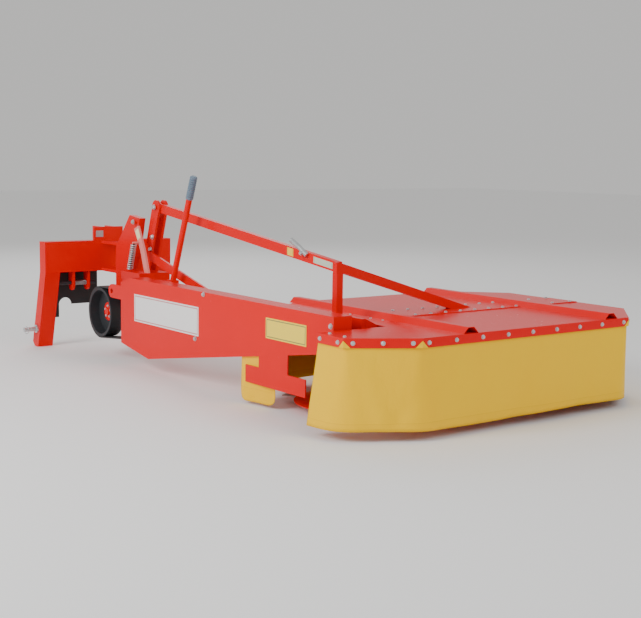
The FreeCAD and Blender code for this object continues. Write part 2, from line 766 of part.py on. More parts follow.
def tower():
    keep("tower_base", box("tower_block", "arm_left", "base_rear", "arm_top", "base_width",
                           "base_front - base_rear", "base_height"))
    plates = []
    for side, x in (("left", "tower_middle - tower_gap / 2 - tower_wall"),
                    ("right", "tower_middle + tower_gap / 2")):
        half = "tower_width / 2"
        web = plate_across_x("tower_web_" + side, x, "tower_wall", [
            ("tower_foot_place - " + half, BASE_TOP), ("tower_foot_place + " + half, BASE_TOP),
            ("tower_top_place + " + half, "tower_top"), ("tower_top_place - " + half, "tower_top")])
        head = round_bar("tower_head_" + side, x, "tower_top_place", "tower_top", half, "tower_wall", "x")
        plates.append(fuse("tower_plate_" + side, web, head))
    both = fuse("tower_blank", *plates)
    bore = round_bar("tower_bore", "tower_middle - tower_gap", "tower_top_place", "tower_top",
                     "pin_radius", "2 * tower_gap", "x")
    pin = round_bar("tower_pin", "tower_middle - tower_gap / 2 - tower_wall - 8", "tower_top_place",
                    "tower_top", "pin_radius", "tower_gap + 2 * tower_wall + 16", "x")
    keep("tower_plates", fuse("tower_pinned", cut("tower_bored", both, bore), pin))
    left = "tower_middle - tower_gap / 2 - tower_wall - diagonal_wall"
    bar = slanted("diagonal_bar", left, "diagonal_wall", "diagonal_rear", "arm_top - diagonal_width",
                  "diagonal_front", "diagonal_start - diagonal_width", "diagonal_width")
    spacer = box("diagonal_spacer", "arm_left + arm_width", "diagonal_rear + 6",
                 "arm_top - diagonal_width + 8", left + " - arm_left - arm_width", "40",
                 "diagonal_width - 20")
    keep("diagonal_brace", fuse("diagonal_whole", bar, spacer))
    half = "strap_width / 2"
    strap = [("strap_foot - " + half, BASE_TOP), ("strap_foot + " + half, BASE_TOP),
             ("strap_knee + " + half, "strap_knee_height"), ("strap_head + " + half, "strap_top"),
             ("strap_head - " + half, "strap_top + 20"), ("strap_knee - " + half, "strap_knee_height")]
    blank = plate_across_x("strap_blank", "strap_left", "strap_wall", strap)
    peg = round_bar("spring_peg", "spring_left - spring_radius / 2", "spring_head", "spring_head_height",
                    "peg_radius", "strap_left - spring_left + spring_radius / 2", "x")
    keep("lift_strap", fuse("strap_whole", blank, peg))


def balance_spring():
    """Stands on the tower base and leans back to its peg on the strap."""
    foot_z = number(BASE_TOP + " + spring_radius / 2")
    back = number("spring_foot") - number("spring_head")
    rise = number("spring_head_height - peg_radius") - foot_z
    lean = math.degrees(math.atan2(back, rise))
    item = doc.addObject("Part::Cylinder", "spring_bar")
    tie(item, Radius="spring_radius", Height="sqrt((spring_foot - spring_head) ^ 2 + (spring_head_height"
        " - peg_radius - %s - spring_radius / 2) ^ 2) - 4" % BASE_TOP)
    set_place(item, "spring_left", "spring_foot", BASE_TOP + " + spring_radius / 2", (1, 0, 0), lean)
    foot = round_bar("spring_foot_bar", "spring_left", "spring_foot", BASE_TOP, "spring_radius / 2",
                     "spring_radius / 2")
    keep("balance_spring", fuse("spring_whole", item, foot))


def hand_lever():
    """Round bar that leans back from the arm, with a grip at its end."""
    rise = number("lever_top - arm_top - lever_radius")
    back = number("lever_foot") - number("lever_head")
    lean = math.degrees(math.atan2(back, rise))
    span = "sqrt((lever_top - arm_top - lever_radius) ^ 2 + (lever_foot - lever_head) ^ 2)"
    bar = doc.addObject("Part::Cylinder", "lever_bar")
    tie(bar, Radius="lever_radius", Height=span + " - grip_length")
    set_place(bar, "lever_place", "lever_foot", "arm_top + lever_radius", (1, 0, 0), lean)
    foot = box("lever_foot_block", "lever_place - 22", "lever_foot - 26", "arm_top", "44", "60", "26")
    keep("hand_lever", fuse("lever_whole", bar, foot))
    item = doc.addObject("Part::Cylinder", "lever_grip_bar")
    tie(item, Radius="grip_radius", Height="grip_length")
    share = "((%s - grip_length) / %s)" % (span, span)
    set_place(item, "lever_place", "lever_foot - (lever_foot - lever_head) * " + share,
              "arm_top + lever_radius + (lever_top - arm_top - lever_radius) * " + share, (1, 0, 0), lean)
    keep("lever_grip", item)


# ---- cutting unit: gear beam, covers, curtains, drums and skids ----

def gear_beam():
    blank = box("beam_block", BEAM_LEFT, "beam_place - beam_width / 2", BEAM_BOTTOM,
                "cover_width - beam_end_gap - " + BEAM_LEFT, "beam_width", "beam_height")
    hubs = [round_bar("hub_" + side, x, "beam_place", HUB_BOTTOM, "hub_radius", "hub_height")
            for side, x in (("left", DRUM_LEFT), ("right", DRUM_RIGHT))]
    keep("gear_beam", fuse("beam_whole", blank, *hubs))


def cover_sheet(name, outer, inner):
    """A sheet with its outer edges turned down; the inner outline runs past the open edges."""
    body = new_body(name, z="cover_top - flange_drop")
    pad(body, closed_outline(body, "outline", "XY_Plane", outer), "flange_drop")
    sketch = closed_outline(body, "underside", "XY_Plane", inner)
    pocket(body, sketch, "flange_drop - sheet_wall", backwards=True)
    keep(name, body)


def covers():
    wide = "cover_width"
    deep = "cover_depth"
    wall = "sheet_wall"
    seam = "beam_place"
    past = "10"
    cover_sheet("cover_rear", [
        ("0", "rear_left_cut_y"), ("rear_left_cut_x", "0"), (wide + " - right_cut_x", "0"),
        (wide, "right_cut_y"), (wide, seam), ("notch_width", seam), ("notch_width", "notch_rear"),
        ("0", "notch_rear")], [
        (wall, "rear_left_cut_y"), ("rear_left_cut_x", wall), (wide + " - right_cut_x", wall),
        (wide + " - " + wall, "right_cut_y"), (wide + " - " + wall, seam + " + " + past),
        ("notch_width - " + past, seam + " + " + past), ("notch_width - " + past, "notch_rear + " + past),
        (wall, "notch_rear + " + past)])
    cover_sheet("cover_front", [
        ("notch_width", seam), (wide, seam), (wide, deep + " - right_cut_y"),
        (wide + " - right_cut_x", deep), ("notch_width + front_left_cut_x", deep),
        ("notch_width", deep + " - front_left_cut_y")], [
        ("notch_width - " + past, seam + " - " + past), (wide + " - " + wall, seam + " - " + past),
        (wide + " - " + wall, deep + " - right_cut_y"), (wide + " - right_cut_x", deep + " - " + wall),
        ("notch_width + front_left_cut_x", deep + " - " + wall),
        ("notch_width - " + past, deep + " - front_left_cut_y - " + wall + " - " + past)])


def ribs():
    half = "rib_foot / 2"
    crest = "rib_crest / 2"
    thick = "rib_wall"
    both = []
    for name, place in (("rib_left", "rib_left_place"), ("rib_right", "rib_right_place")):
        body = new_body(name, place, "cover_depth - rib_inset", "cover_top")
        outline = [("0 - " + half, "0"), ("0 - " + crest, "rib_rise"), (crest, "rib_rise"), (half, "0"),
                   (half + " - " + thick, "0"), (crest + " - " + thick, "rib_rise - " + thick),
                   (thick + " - " + crest, "rib_rise - " + thick), (thick + " - " + half, "0")]
        pad(body, closed_outline(body, "outline", "XZ_Plane", outline), "cover_depth - 2 * rib_inset")
        both.append(body)
    keep("cover_ribs", fuse("ribs_whole", *both))


def beam_strips():
    gap = "2"
    spans = [("rib_left_place + rib_foot / 2 + " + gap, "rib_right_place - rib_foot / 2 - " + gap),
             ("rib_right_place + rib_foot / 2 + " + gap, "cover_width - 6")]
    strips = [box("strip_%d" % i, a, "beam_place - strip_width / 2", "cover_top",
                  "%s - (%s)" % (b, a), "strip_width", "strip_wall") for i, (a, b) in enumerate(spans)]
    keep("beam_strips", fuse("strips_whole", *strips))


def hanging(name, points):
    return plate_flat(name, "curtain_floor_gap", CURTAIN_TOP + " - curtain_floor_gap", points)


def curtains():
    out = "(sheet_wall + curtain_tuck)"
    back = "(sheet_wall + curtain_tuck + curtain_wall)"
    wide = "cover_width"
    deep = "cover_depth"
    slit = "curtain_slit"

    def flat(name, x1, y1, x2, y2):
        return hanging(name, [(x1, y1), (x2, y1), (x2, y2), (x1, y2)])
    panels = [flat("panel_left", out, "rear_left_cut_y + " + slit, back, "notch_rear")]
    panels.append(hanging("panel_rear_left", [
        (out, "rear_left_cut_y"), ("rear_left_cut_x", out), ("rear_left_cut_x", back),
        (back, "rear_left_cut_y")]))
    panels.append(flat("panel_rear", "rear_left_cut_x + " + slit, out,
                       wide + " - right_cut_x - " + slit, back))
    right = wide + " - "
    panels.append(hanging("panel_rear_right", [
        (right + "right_cut_x", out), (right + out, "right_cut_y"), (right + back, "right_cut_y"),
        (right + "right_cut_x", back)]))
    panels.append(flat("panel_right", right + back, "right_cut_y + " + slit, right + out,
                       deep + " - right_cut_y - " + slit))
    panels.append(hanging("panel_front_right", [
        (right + out, deep + " - right_cut_y"), (right + "right_cut_x", deep + " - " + out),
        (right + "right_cut_x", deep + " - " + back), (right + back, deep + " - right_cut_y")]))
    panels.append(flat("panel_front", "notch_width + front_left_cut_x + " + slit, deep + " - " + back,
                       wide + " - right_cut_x - " + slit, deep + " - " + out))
    keep("curtain_main", fuse("curtain_main_whole", *panels))
    left = "notch_width + " + slit
    keep("curtain_inner", hanging("panel_front_left", [
        (left, deep + " - front_left_cut_y - " + out),
        ("notch_width + front_left_cut_x", deep + " - " + out),
        ("notch_width + front_left_cut_x", deep + " - " + back),
        (left, deep + " - front_left_cut_y - " + back)]))
    keep("curtain_flap", plate_across_x("curtain_flap", "flap_place", "curtain_wall", [
        ("flap_rear", "flap_floor_gap"), ("flap_front", "flap_floor_gap"),
        ("flap_front", guard_bottom("flap_front")), ("flap_rear", guard_bottom("flap_rear"))]))


def drum(side, x, phase):
    top = HUB_BOTTOM + " - drum_gap"
    low = "disc_floor_gap"
    shoulder = "(disc_floor_gap + disc_rim + disc_crown)"
    inside = "drum_radius - drum_wall"
    keep("drum_" + side, turned("drum_" + side, [
        ("drum_mouth", low), ("disc_radius - 12", low), ("disc_radius", low + " + 4"),
        ("disc_radius", low + " + disc_rim"), ("drum_radius + 30", shoulder),
        ("drum_radius", shoulder + " + 30"), ("drum_radius", top), ("drum_bore", top),
        ("drum_bore", top + " - drum_wall"), (inside, top + " - drum_wall"),
        (inside, low + " + disc_rim"), ("drum_mouth", low + " + disc_rim")], x, "beam_place", "0"))
    blades = []
    for i in range(DRUM_KNIVES):
        blade = doc.addObject("Part::Box", "knife_%s_%d" % (side, i))
        tie(blade, Length="knife_reach - knife_root", Width="knife_width", Height="knife_wall")
        angle = phase + i * 360 / DRUM_KNIVES
        turn = "cos(%g)" % angle, "sin(%g)" % angle
        set_place(blade, "%s + knife_root * %s + knife_width / 2 * %s" % (x, turn[0], turn[1]),
                  "beam_place + knife_root * %s - knife_width / 2 * %s" % (turn[1], turn[0]),
                  "disc_floor_gap - knife_wall", (0, 0, 1), angle)
        blades.append(blade)
    keep("knives_" + side, fuse("knives_whole_" + side, *blades))
    return turned("skid_" + side, [
        ("0", "0"), ("skid_flat", "0"), ("skid_radius - 10", "skid_height - 8"), ("skid_radius", "skid_height"),
        ("skid_post_radius", "skid_height"), ("skid_post_radius", HUB_BOTTOM), ("0", HUB_BOTTOM)],
        x, "beam_place", "0")


def input_cover():
    """Wedge-shaped cover over the gear beam's input end."""
    body = new_body("input_cover", BEAM_LEFT, "cover_line + cover_drop")
    reach = "cover_reach"
    low = "cover_top - flange_drop"
    pad(body, closed_outline(body, "outline", "XZ_Plane", [
        ("0", low), (reach, low), (reach, "cover_top"), ("0", "arm_top")]), "cover_drop")
    sketch = closed_outline(body, "hollow", "XZ_Plane", [
        ("0", low), (reach + " - guard_wall", low), (reach + " - guard_wall", "cover_top - guard_wall"),
        ("0", "arm_top - guard_wall")])
    pocket(body, sketch, "cover_drop - guard_wall", backwards=True)
    keep("input_cover", body)


def brace():
    half = "post_side / 2"
    keep("brace_post", box("post_block", "post_place - " + half, "post_line - " + half, BEAM_TOP,
                           "post_side", "post_side", "post_top - bar_height / 2 - " + BEAM_TOP))
    start = "post_place - " + half
    foot_z = "cover_top + strip_wall"
    rear = new_body("brace_rear_bar", "0", "post_line + bar_width / 2")
    pad(rear, closed_outline(rear, "outline", "XZ_Plane", [
        (start, "post_top - bar_height / 2"), (start + " + post_side", "post_top - bar_height / 2"),
        ("rear_bar_foot - 90", foot_z), ("rear_bar_foot + 40", foot_z),
        (start + " + 12", "post_top + bar_height / 2"), (start, "post_top + bar_height / 2")]), "bar_width")
    keep("brace_rear_bar", rear)

    y1 = "(post_line + bar_width / 2)"
    y2 = "(tower_top_place + 24)"
    low1 = "post_top - front_bar_height / 2"
    low2 = "tower_top - front_bar_height / 2"
    blank = slanted("front_bar_blank", "tower_middle - bar_width / 2", "bar_width", y1, low1, y2, low2,
                    "front_bar_height")
    bore = round_bar("front_bar_bore", "tower_middle - bar_width", "tower_top_place", "tower_top",
                     "pin_radius", "2 * bar_width", "x")
    keep("brace_front_bar", cut("front_bar_bored", blank, bore))

    place = "(%s + (%s - %s) * (1 - latch_place))" % (y1, y2, y1)
    level = "(post_top + (tower_top - post_top) * (1 - latch_place) + front_bar_height / 2)"
    keep("brace_latch", plate_across_x("brace_latch", "tower_middle - bar_width / 2 - latch_wall",
                                       "latch_wall", [
        (place + " - 30", level + " - latch_width - 4"), (place, level + " - latch_width - 4"),
        (place + " + latch_length", level + " + latch_rise"),
        (place + " + latch_length", level + " + latch_rise + latch_width"),
        (place + " + latch_length - 40", level + " + latch_rise + latch_width"),
        (place + " - 30", level)]))


hitch_beam()
keep("hitch_legs", fuse("legs_whole", hitch_leg("leg_left", HITCH_LEFT),
                        hitch_leg("leg_right", HITCH_RIGHT + " - leg_width")))
keep("lower_link_pins", fuse("link_pins_whole", lower_link_pin(
    "pin_left", HITCH_LEFT + " - collar_length", HITCH_LEFT + " - collar_length - link_pin_length"),
    lower_link_pin("pin_right", HITCH_RIGHT, HITCH_RIGHT + " + collar_length")))
top_link_bracket()
kingpin()
latch()
shield()
swing_head()
gearbox()
LEFT_OF_PLATE = "(front_plate_right - front_plate_wall - front_plate_gap)"
pulley("drive_pulley", "drive_place", "drive_height", "drive_radius", LEFT_OF_PLATE)
pulley("driven_pulley", "beam_place", "driven_height", "driven_radius", "(arm_left + arm_width - 1)")
belts()
belt_guard()
arm()
side_bar()
tower()
balance_spring()
hand_lever()
gear_beam()
covers()
ribs()
beam_strips()
curtains()
keep("skids", fuse("skids_whole", drum("left", DRUM_LEFT, LEFT_PHASE),
                   drum("right", DRUM_RIGHT, RIGHT_PHASE)))
input_cover()
brace()
doc.recompute()

for item in doc.Objects:
    if "Invalid" in item.State or "Error" in item.State:
        raise RuntimeError("%s did not recompute: %s" % (item.Name, item.State))
os.makedirs("parts", exist_ok=True)
for name, item in pieces.items():
    shape = item.Shape
    if shape.isNull() or not shape.isValid() or shape.Volume <= 0:
        raise RuntimeError("%s has no good shape" % name)
    shape.exportStep("parts/%s.step" % name)
print(len(pieces), "pieces written")
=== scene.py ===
"""Finish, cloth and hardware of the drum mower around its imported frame."""

import math
import random

import bmesh
import bpy
from mathutils import Matrix, Vector


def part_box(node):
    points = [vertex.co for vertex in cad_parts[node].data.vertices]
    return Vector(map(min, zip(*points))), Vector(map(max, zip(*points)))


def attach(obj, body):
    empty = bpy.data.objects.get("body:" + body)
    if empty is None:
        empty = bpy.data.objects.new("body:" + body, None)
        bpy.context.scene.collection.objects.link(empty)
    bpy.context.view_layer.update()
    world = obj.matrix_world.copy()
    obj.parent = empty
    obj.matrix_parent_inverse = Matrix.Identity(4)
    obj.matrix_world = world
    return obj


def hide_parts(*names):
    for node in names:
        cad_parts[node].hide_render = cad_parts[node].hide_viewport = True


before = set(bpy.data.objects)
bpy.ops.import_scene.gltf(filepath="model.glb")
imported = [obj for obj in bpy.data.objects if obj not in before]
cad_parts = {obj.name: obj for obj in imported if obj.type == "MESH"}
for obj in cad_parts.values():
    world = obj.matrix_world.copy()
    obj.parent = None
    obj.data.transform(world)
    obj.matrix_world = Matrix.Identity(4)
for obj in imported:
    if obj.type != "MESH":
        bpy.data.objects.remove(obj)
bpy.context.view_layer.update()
chance = random.Random(7)

X = Vector((1, 0, 0))
Y = Vector((0, 1, 0))
Z = Vector((0, 0, 1))


# ---- places in the frame ----

def low(node):
    """Lowest corner of a node's box."""
    return Vector(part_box(node)[0])


def high(node):
    """Highest corner of a node's box."""
    return Vector(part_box(node)[1])


def middle(node):
    """Middle of a node's box."""
    return (low(node) + high(node)) / 2


cover_low = low("cover_rear")
cover_high = high("cover_front")
cover_left, cover_back = cover_low.x, cover_low.y
cover_right, cover_front, cover_top = cover_high
flange_drop = cover_high.z - cover_low.z
rear_left_cut = Vector((0.275, 0.165))
right_cut = Vector((0.255, 0.240))
front_left_cut = Vector((0.200, 0.100))
notch_left = low("cover_front").x
guard_low, guard_high = low("belt_guard"), high("belt_guard")
notch_gap = 0.017
notch_back = guard_low.y - notch_gap
edge_bolt = 0.0085
cloth_wall = 0.0014
label_lift = label_thick = 0.001


# ---- finishes ----

class Field:
    """A socket's value over a surface, so that shader maths reads as plain arithmetic."""

    def __init__(self, finish, socket):
        self.finish = finish
        self.socket = socket

    def maths(self, operation, *terms):
        made = self.finish.node("ShaderNodeMath", {"operation": operation}, dict(enumerate(terms)))
        return made

    def __add__(self, other):
        return self.maths("ADD", self, other)

    __radd__ = __add__

    def __mul__(self, other):
        return self.maths("MULTIPLY", self, other)

    __rmul__ = __mul__

    def __sub__(self, other):
        return self.maths("SUBTRACT", self, other)

    def __rsub__(self, other):
        return self.maths("SUBTRACT", other, self)

    def __truediv__(self, other):
        return self.maths("DIVIDE", self, other)

    def __gt__(self, other):
        return self.maths("GREATER_THAN", self, other)

    def __lt__(self, other):
        return self.maths("LESS_THAN", self, other)

    def wave(self):
        return self.maths("SINE", self)

    def size(self):
        return self.maths("ABSOLUTE", self)

    def least(self, other):
        return self.maths("MINIMUM", self, other)

    def clipped(self):
        made = self.maths("ADD", self, 0.0)
        made.socket.node.use_clamp = True
        return made


class Finish:
    """One procedural material under construction."""

    def __init__(self, name):
        self.material = bpy.data.materials.new(name)
        self.material.use_nodes = True
        self.tree = self.material.node_tree
        self.tree.nodes.clear()
        where = self.node("ShaderNodeTexCoord", output="Object")
        self.where = where
        split = self.node("ShaderNodeSeparateXYZ", inputs={0: where}).socket.node
        self.x, self.y, self.z = (Field(self, split.outputs[i]) for i in range(3))

    def node(self, kind, settings=None, inputs=None, output=0):
        """Any node: its settings first, then the values or links of its sockets."""
        made = self.tree.nodes.new(kind)
        for name, value in (settings or {}).items():
            if name == "stops":
                ramp = made.color_ramp
                while len(ramp.elements) < len(value):
                    ramp.elements.new(0.5)
                for element, (place, shade) in zip(ramp.elements, value):
                    element.position = place
                    element.color = (shade, shade, shade, 1)
            else:
                setattr(made, name, value)
        for name, value in (inputs or {}).items():
            if isinstance(value, Field):
                self.tree.links.new(value.socket, made.inputs[name])
            else:
                made.inputs[name].default_value = value
        return Field(self, made.outputs[output])

    def noise(self, scale, detail=3.0, roughness=0.55, where=None):
        return self.node("ShaderNodeTexNoise", None, {
            "Vector": where or self.where, "Scale": scale, "Detail": detail, "Roughness": roughness})

    def stretched(self, x, y, z):
        """Surface coordinates stretched by a factor along each axis."""
        return self.node("ShaderNodeVectorMath", {"operation": "MULTIPLY"}, {
            0: self.where, 1: (x, y, z)})

    def ramp(self, value, *stops):
        """Straight runs between (place, shade) stops."""
        return self.node("ShaderNodeValToRGB", {"stops": stops}, {0: value})

    def tint(self, share, first, second):
        """A colour that goes from first to second as share goes from 0 to 1."""
        return self.node("ShaderNodeMix", {"data_type": "RGBA"}, {
            0: share, 6: first if isinstance(first, Field) else (*first, 1),
            7: second if isinstance(second, Field) else (*second, 1)}, output=2)

    def bump(self, height, strength, distance, under=None):
        inputs = {"Height": height, "Strength": strength, "Distance": distance}
        if under:
            inputs["Normal"] = under
        return self.node("ShaderNodeBump", None, inputs)

    def surface(self, colour, roughness, metal=0.0, normal=None, **more):
        inputs = {"Base Color": colour if isinstance(colour, Field) else (*colour, 1),
                  "Roughness": roughness, "Metallic": metal}
        if normal:
            inputs["Normal"] = normal
        inputs.update({name.replace("_", " "): value for name, value in more.items()})
        shader = self.node("ShaderNodeBsdfPrincipled", None, inputs)
        end = self.tree.nodes.new("ShaderNodeOutputMaterial")
        self.tree.links.new(shader.socket, end.inputs["Surface"])
        return self.material


def gloss_paint(name, colour, shade, dull=0.20):
    """Sprayed enamel: slight orange peel, soft colour drift, a little dust and fine scuffs."""
    f = Finish(name)
    drift = f.noise(2.3, 4.0)
    dust = f.ramp(f.noise(55.0, 6.0, 0.7), (0.60, 0.0), (0.86, 1.0))
    scuff = f.ramp(f.noise(11.0, 8.0, 0.75, f.stretched(1.0, 0.25, 1.0)), (0.70, 0.0), (0.76, 1.0))
    base = f.tint(drift, shade, colour)
    base = f.tint(dust * 0.05, base, (0.55, 0.20, 0.17))
    base = f.tint(scuff * 0.25, base, tuple(c * 0.55 for c in shade))
    roughness = dull + drift * 0.08 + dust * 0.10 + scuff * 0.16
    peel = f.bump(f.noise(260.0, 2.0), 0.03, 0.001)
    return f.surface(base, roughness, 0.0, f.bump(drift, 0.06, 0.003, peel),
                     Specular_IOR_Level=0.14)


def curtain_cloth(name, colour, shade, hem_line):
    """Coated tarpaulin: fine weave, soft handling creases with painted shade in their hollows, a
    welded hem and splashes low down.
    """
    f = Finish(name)
    warp = (f.x * 2600.0).wave() * 0.5
    weft = (f.z * 2600.0).wave() * 0.5
    other = (f.y * 2600.0).wave() * 0.5
    weave = warp + weft + other
    crease_height_and_shade = f.noise(3.2, 5.0, 0.62, f.stretched(1.0, 1.0, 0.45))
    small = f.noise(26.0, 4.0, 0.6)
    line = 1.0 - (((f.z - hem_line).size()) / 0.0016).clipped()
    below = f.z < hem_line
    soil = f.ramp(f.noise(17.0, 6.0, 0.7) - (f.z - hem_line) * 1.6, (0.62, 0.0), (0.9, 1.0))
    # The crease hollows take the shade colour: painted shade in the creases.
    base = f.tint(crease_height_and_shade, shade, colour)
    base = f.tint(small * 0.12, base, (0.90, 0.48, 0.03))
    base = f.tint(below * 0.10, base, (0.80, 0.42, 0.02))
    base = f.tint(soil * 0.10, base, (0.34, 0.22, 0.06))
    base = f.tint(line * 0.30, base, (0.60, 0.30, 0.02))
    roughness = 0.33 + crease_height_and_shade * 0.12 + small * 0.10 + soil * 0.2
    normal = f.bump(weave, 0.05, 0.0004)
    crumple = f.node("ShaderNodeTexVoronoi", {"feature": "DISTANCE_TO_EDGE"}, {
        "Vector": f.stretched(1.0, 1.0, 0.7), "Scale": 5.5})
    normal = f.bump(crease_height_and_shade, 0.45, 0.018, normal)
    normal = f.bump(f.ramp(crumple, (0.0, 0.0), (0.30, 1.0)), 0.16, 0.006, normal)
    normal = f.bump(line, 0.35, -0.0012, normal)
    return f.surface(base, roughness, 0.0, normal, Specular_IOR_Level=0.10)


def plated(name, colour, rough, grain=90.0):
    """Zinc or bare steel with faint crystals, brushing and dull spots."""
    f = Finish(name)
    crystals = f.node("ShaderNodeTexVoronoi", None, {"Vector": f.where, "Scale": grain})
    cloud = f.noise(14.0, 5.0)
    brushed = f.noise(120.0, 2.0, 0.5, f.stretched(1.0, 0.08, 1.0))
    base = f.tint(crystals * 0.5 + cloud * 0.5, tuple(c * 0.62 for c in colour), colour)
    base = f.tint(f.ramp(cloud, (0.62, 0.0), (0.8, 0.5)), base, (0.16, 0.10, 0.07))
    return f.surface(base, rough + cloud * 0.22 + crystals * 0.08, 0.92,
                     f.bump(brushed, 0.10, 0.001))


def worn_steel(name):
    """Ground-contact steel: polished runs, heat-dark patches and thin rust."""
    f = Finish(name)
    patches = f.noise(7.0, 6.0, 0.65)
    fine = f.noise(85.0, 4.0, 0.7)
    rust = f.ramp(patches + fine * 0.25, (0.62, 0.0), (0.78, 1.0))
    base = f.tint(fine, (0.26, 0.25, 0.25), (0.46, 0.45, 0.44))
    base = f.tint(rust * 0.7, base, (0.25, 0.085, 0.03))
    return f.surface(base, 0.34 + rust * 0.4 + fine * 0.1, 0.9 - rust * 0.6,
                     f.bump(fine, 0.2, 0.001))


def cast(name, colour):
    """Cast or dull painted iron with grain and a dusty bloom."""
    f = Finish(name)
    grain = f.noise(150.0, 5.0, 0.7)
    bloom = f.noise(5.0, 4.0)
    base = f.tint(bloom, tuple(c * 0.7 for c in colour), tuple(c * 1.5 for c in colour))
    return f.surface(base, 0.42 + grain * 0.2, 0.35, f.bump(grain, 0.25, 0.0015))


def moulded(name, colour, rough=0.48):
    """Moulded plastic or rubber with a fine leathery skin and pale scuffs."""
    f = Finish(name)
    skin = f.noise(420.0, 3.0)
    cloud = f.noise(8.0, 5.0)
    pale = tuple(min(1.0, c * 1.7 + 0.03) for c in colour)
    base = f.tint(cloud * 0.6, colour, pale)
    return f.surface(base, rough + cloud * 0.14, 0.0, f.bump(skin, 0.12, 0.0008))


def printed(name, paper, ink, low_corner, high_corner, border):
    """A blank sticker: paper colour with a thin printed border, edges slightly soiled."""
    f = Finish(name)
    across = ((f.y - low_corner.y).least(high_corner.y - f.y))
    upward = ((f.z - low_corner.z).least(high_corner.z - f.z))
    edge = across.least(upward)
    frame_line = (edge > border) * (edge < border * 1.7)
    soil = f.noise(60.0, 5.0)
    base = f.tint(frame_line * 0.85, paper, ink)
    base = f.tint(soil * 0.10, base, (0.35, 0.30, 0.26))
    return f.surface(base, 0.32 + soil * 0.1, 0.0, f.bump(soil, 0.04, 0.0005), Coat_Weight=0.2)


RED = (0.86, 0.0, 0.002)
RED_SHADE = (0.72, 0.0, 0.001)
YELLOW = (1.0, 0.64, 0.0)
YELLOW_SHADE = (1.0, 0.56, 0.0)

hem_depth = 0.035
hem_line = low("curtain_main").z + hem_depth
red_paint = gloss_paint("red_enamel", RED, RED_SHADE)
cloth = curtain_cloth("yellow_tarpaulin", YELLOW, YELLOW_SHADE, hem_line)
zinc = plated("zinc_plate", (0.74, 0.75, 0.76), 0.24)
bright = plated("bright_steel", (0.66, 0.66, 0.67), 0.2, 40.0)
ground_steel = worn_steel("ground_steel")
iron = cast("pulley_iron", (0.030, 0.033, 0.038))
rubber = moulded("belt_rubber", (0.014, 0.014, 0.015), 0.6)
black = moulded("black_plastic", (0.006, 0.006, 0.007), 0.5)
grip_blue = moulded("grip_plastic", (0.11, 0.16, 0.22), 0.42)
# The lift strap gets a lighter, pinkish copy of the red enamel: a painted highlight for the sky
# reflected off the strap.
sky_lit_red = gloss_paint("strap_red_painted_sky_highlight", (0.86, 0.30, 0.27), (0.78, 0.20, 0.18), 0.3)

finish_of = {
    "lower_link_pins": zinc, "kingpin": zinc, "latch_bolt": iron,
    "input_shield": black, "input_bell": black, "input_shaft": bright, "drive_pulley": iron,
    "driven_pulley": iron, "drive_belts": rubber, "knives_left": ground_steel,
    "knives_right": ground_steel, "skids": ground_steel, "lift_strap": sky_lit_red,
}
for node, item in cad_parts.items():
    chosen = finish_of.get(node, red_paint)
    item.data.materials.clear()
    item.data.materials.append(chosen)


# ---- pieces ----

def piece(name, mesh_maker, body, material, smooth=True):
    """An object from a bmesh, riding on a body and finished in one material."""
    mesh = bpy.data.meshes.new(name)
    work = bmesh.new()
    mesh_maker(work)
    bmesh.ops.recalc_face_normals(work, faces=work.faces)
    work.to_mesh(mesh)
    work.free()
    item = bpy.data.objects.new(name, mesh)
    bpy.context.scene.collection.objects.link(item)
    mesh.materials.append(material)
    if smooth:
        mesh.shade_smooth()
        mesh.set_sharp_from_angle(angle=math.radians(35))
    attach(item, body)
    return item


def facing(direction):
    """A turn that takes +Z to a direction."""
    return direction.normalized().to_track_quat("Z", "Y").to_matrix().to_4x4()


def lathe(work, place, direction, outline, steps=32):
    """Turn (radius, height) points about an axis through place."""
    turn = Matrix.Translation(place) @ facing(direction)
    rings = []
    for radius, height in outline:
        if radius < 1e-6:
            rings.append([work.verts.new(turn @ Vector((0, 0, height)))])
            continue
        rings.append([work.verts.new(turn @ Vector((
            radius * math.cos(2 * math.pi * i / steps), radius * math.sin(2 * math.pi * i / steps),
            height))) for i in range(steps)])
    for a, b in zip(rings, rings[1:]):
        for i in range(steps):
            j = (i + 1) % steps
            corners = [a[i % len(a)], a[j % len(a)], b[j % len(b)], b[i % len(b)]]
            corners = list(dict.fromkeys(corners))
            if len(corners) > 2:
                work.faces.new(corners)


def hex_head(work, place, direction, size, turn=0.0):
    """A washer with a chamfered hexagon head on it."""
    lathe(work, place, direction, [
        (0, 0), (size * 1.12, 0), (size * 1.18, size * 0.06), (size * 1.12, size * 0.18),
        (0, size * 0.18)], 24)
    basis = Matrix.Translation(place) @ facing(direction) @ Matrix.Rotation(turn, 4, "Z")
    base = size * 0.18
    levels = [(0.92, base), (0.92, base + size * 0.50), (0.78, base + size * 0.62)]
    rings = [[work.verts.new(basis @ Vector((
        size * share * math.cos(i * math.pi / 3), size * share * math.sin(i * math.pi / 3), height)))
        for i in range(6)] for share, height in levels]
    for a, b in zip(rings, rings[1:]):
        for i in range(6):
            work.faces.new([a[i], a[(i + 1) % 6], b[(i + 1) % 6], b[i]])
    work.faces.new(rings[-1])
    work.faces.new(list(reversed(rings[0])))


def bolts(name, places, direction, size, body="arm"):
    """A group of like bolts."""
    def make(work):
        for place in places:
            hex_head(work, place, direction, size, chance.uniform(0, 1.0))
    return piece(name, make, body, zinc, smooth=False)


def evenly(start, end, count):
    """Points shared evenly along a line, ends included."""
    return [start.lerp(end, i / (count - 1)) for i in range(count)]


